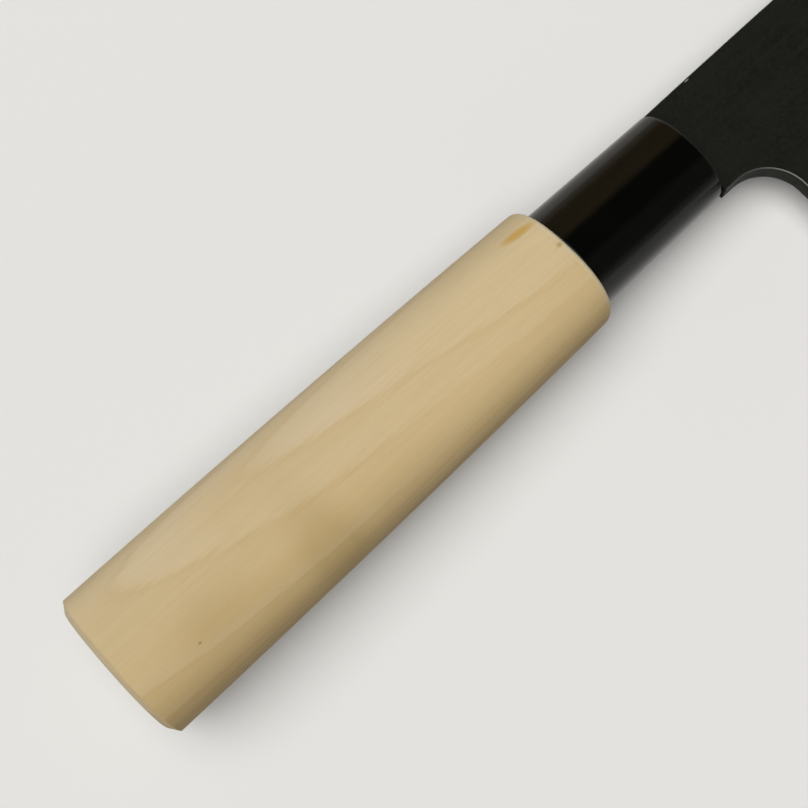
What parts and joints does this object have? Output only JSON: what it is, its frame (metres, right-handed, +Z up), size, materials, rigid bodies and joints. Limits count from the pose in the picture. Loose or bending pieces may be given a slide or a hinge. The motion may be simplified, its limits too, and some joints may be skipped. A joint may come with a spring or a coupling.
{
  "type": "bunka knife",
  "caption": "Kitchen knife with a pale oval wood handle, a glossy black ferrule and a laminated double-bevel blade whose spine is clipped down to a point, for slicing and chopping",
  "frame": {"origin": "on the resting surface, under the middle of the knife's box, with the knife lying on its left side as it comes to rest when put down", "axes": "+X along the knife from the butt to the tip, +Y towards the spine, +Z up, out of the right face of the blade"},
  "size_m": [0.294, 0.0506, 0.0238],
  "materials": {
    "handle_wood": "bare sanded pale hardwood with faint long grain",
    "ferrule_black": "polished black with a slight brown cast",
    "bedding_resin": "set adhesive, hidden",
    "seal_resin": "dark set filler",
    "edge_steel": "ground and honed bright steel",
    "cladding_steel": "dark matte forge finish on the flats, ground satin on the bevel"
  },
  "bodies": {
    "root": {"handle": "handle_wood", "ferrule": "ferrule_black", "tang_bedding": "bedding_resin", "tang_seal": "seal_resin", "core_steel": "edge_steel", "cladding_right": "cladding_steel", "cladding_left": "cladding_steel"}
  },
  "joints": []
}
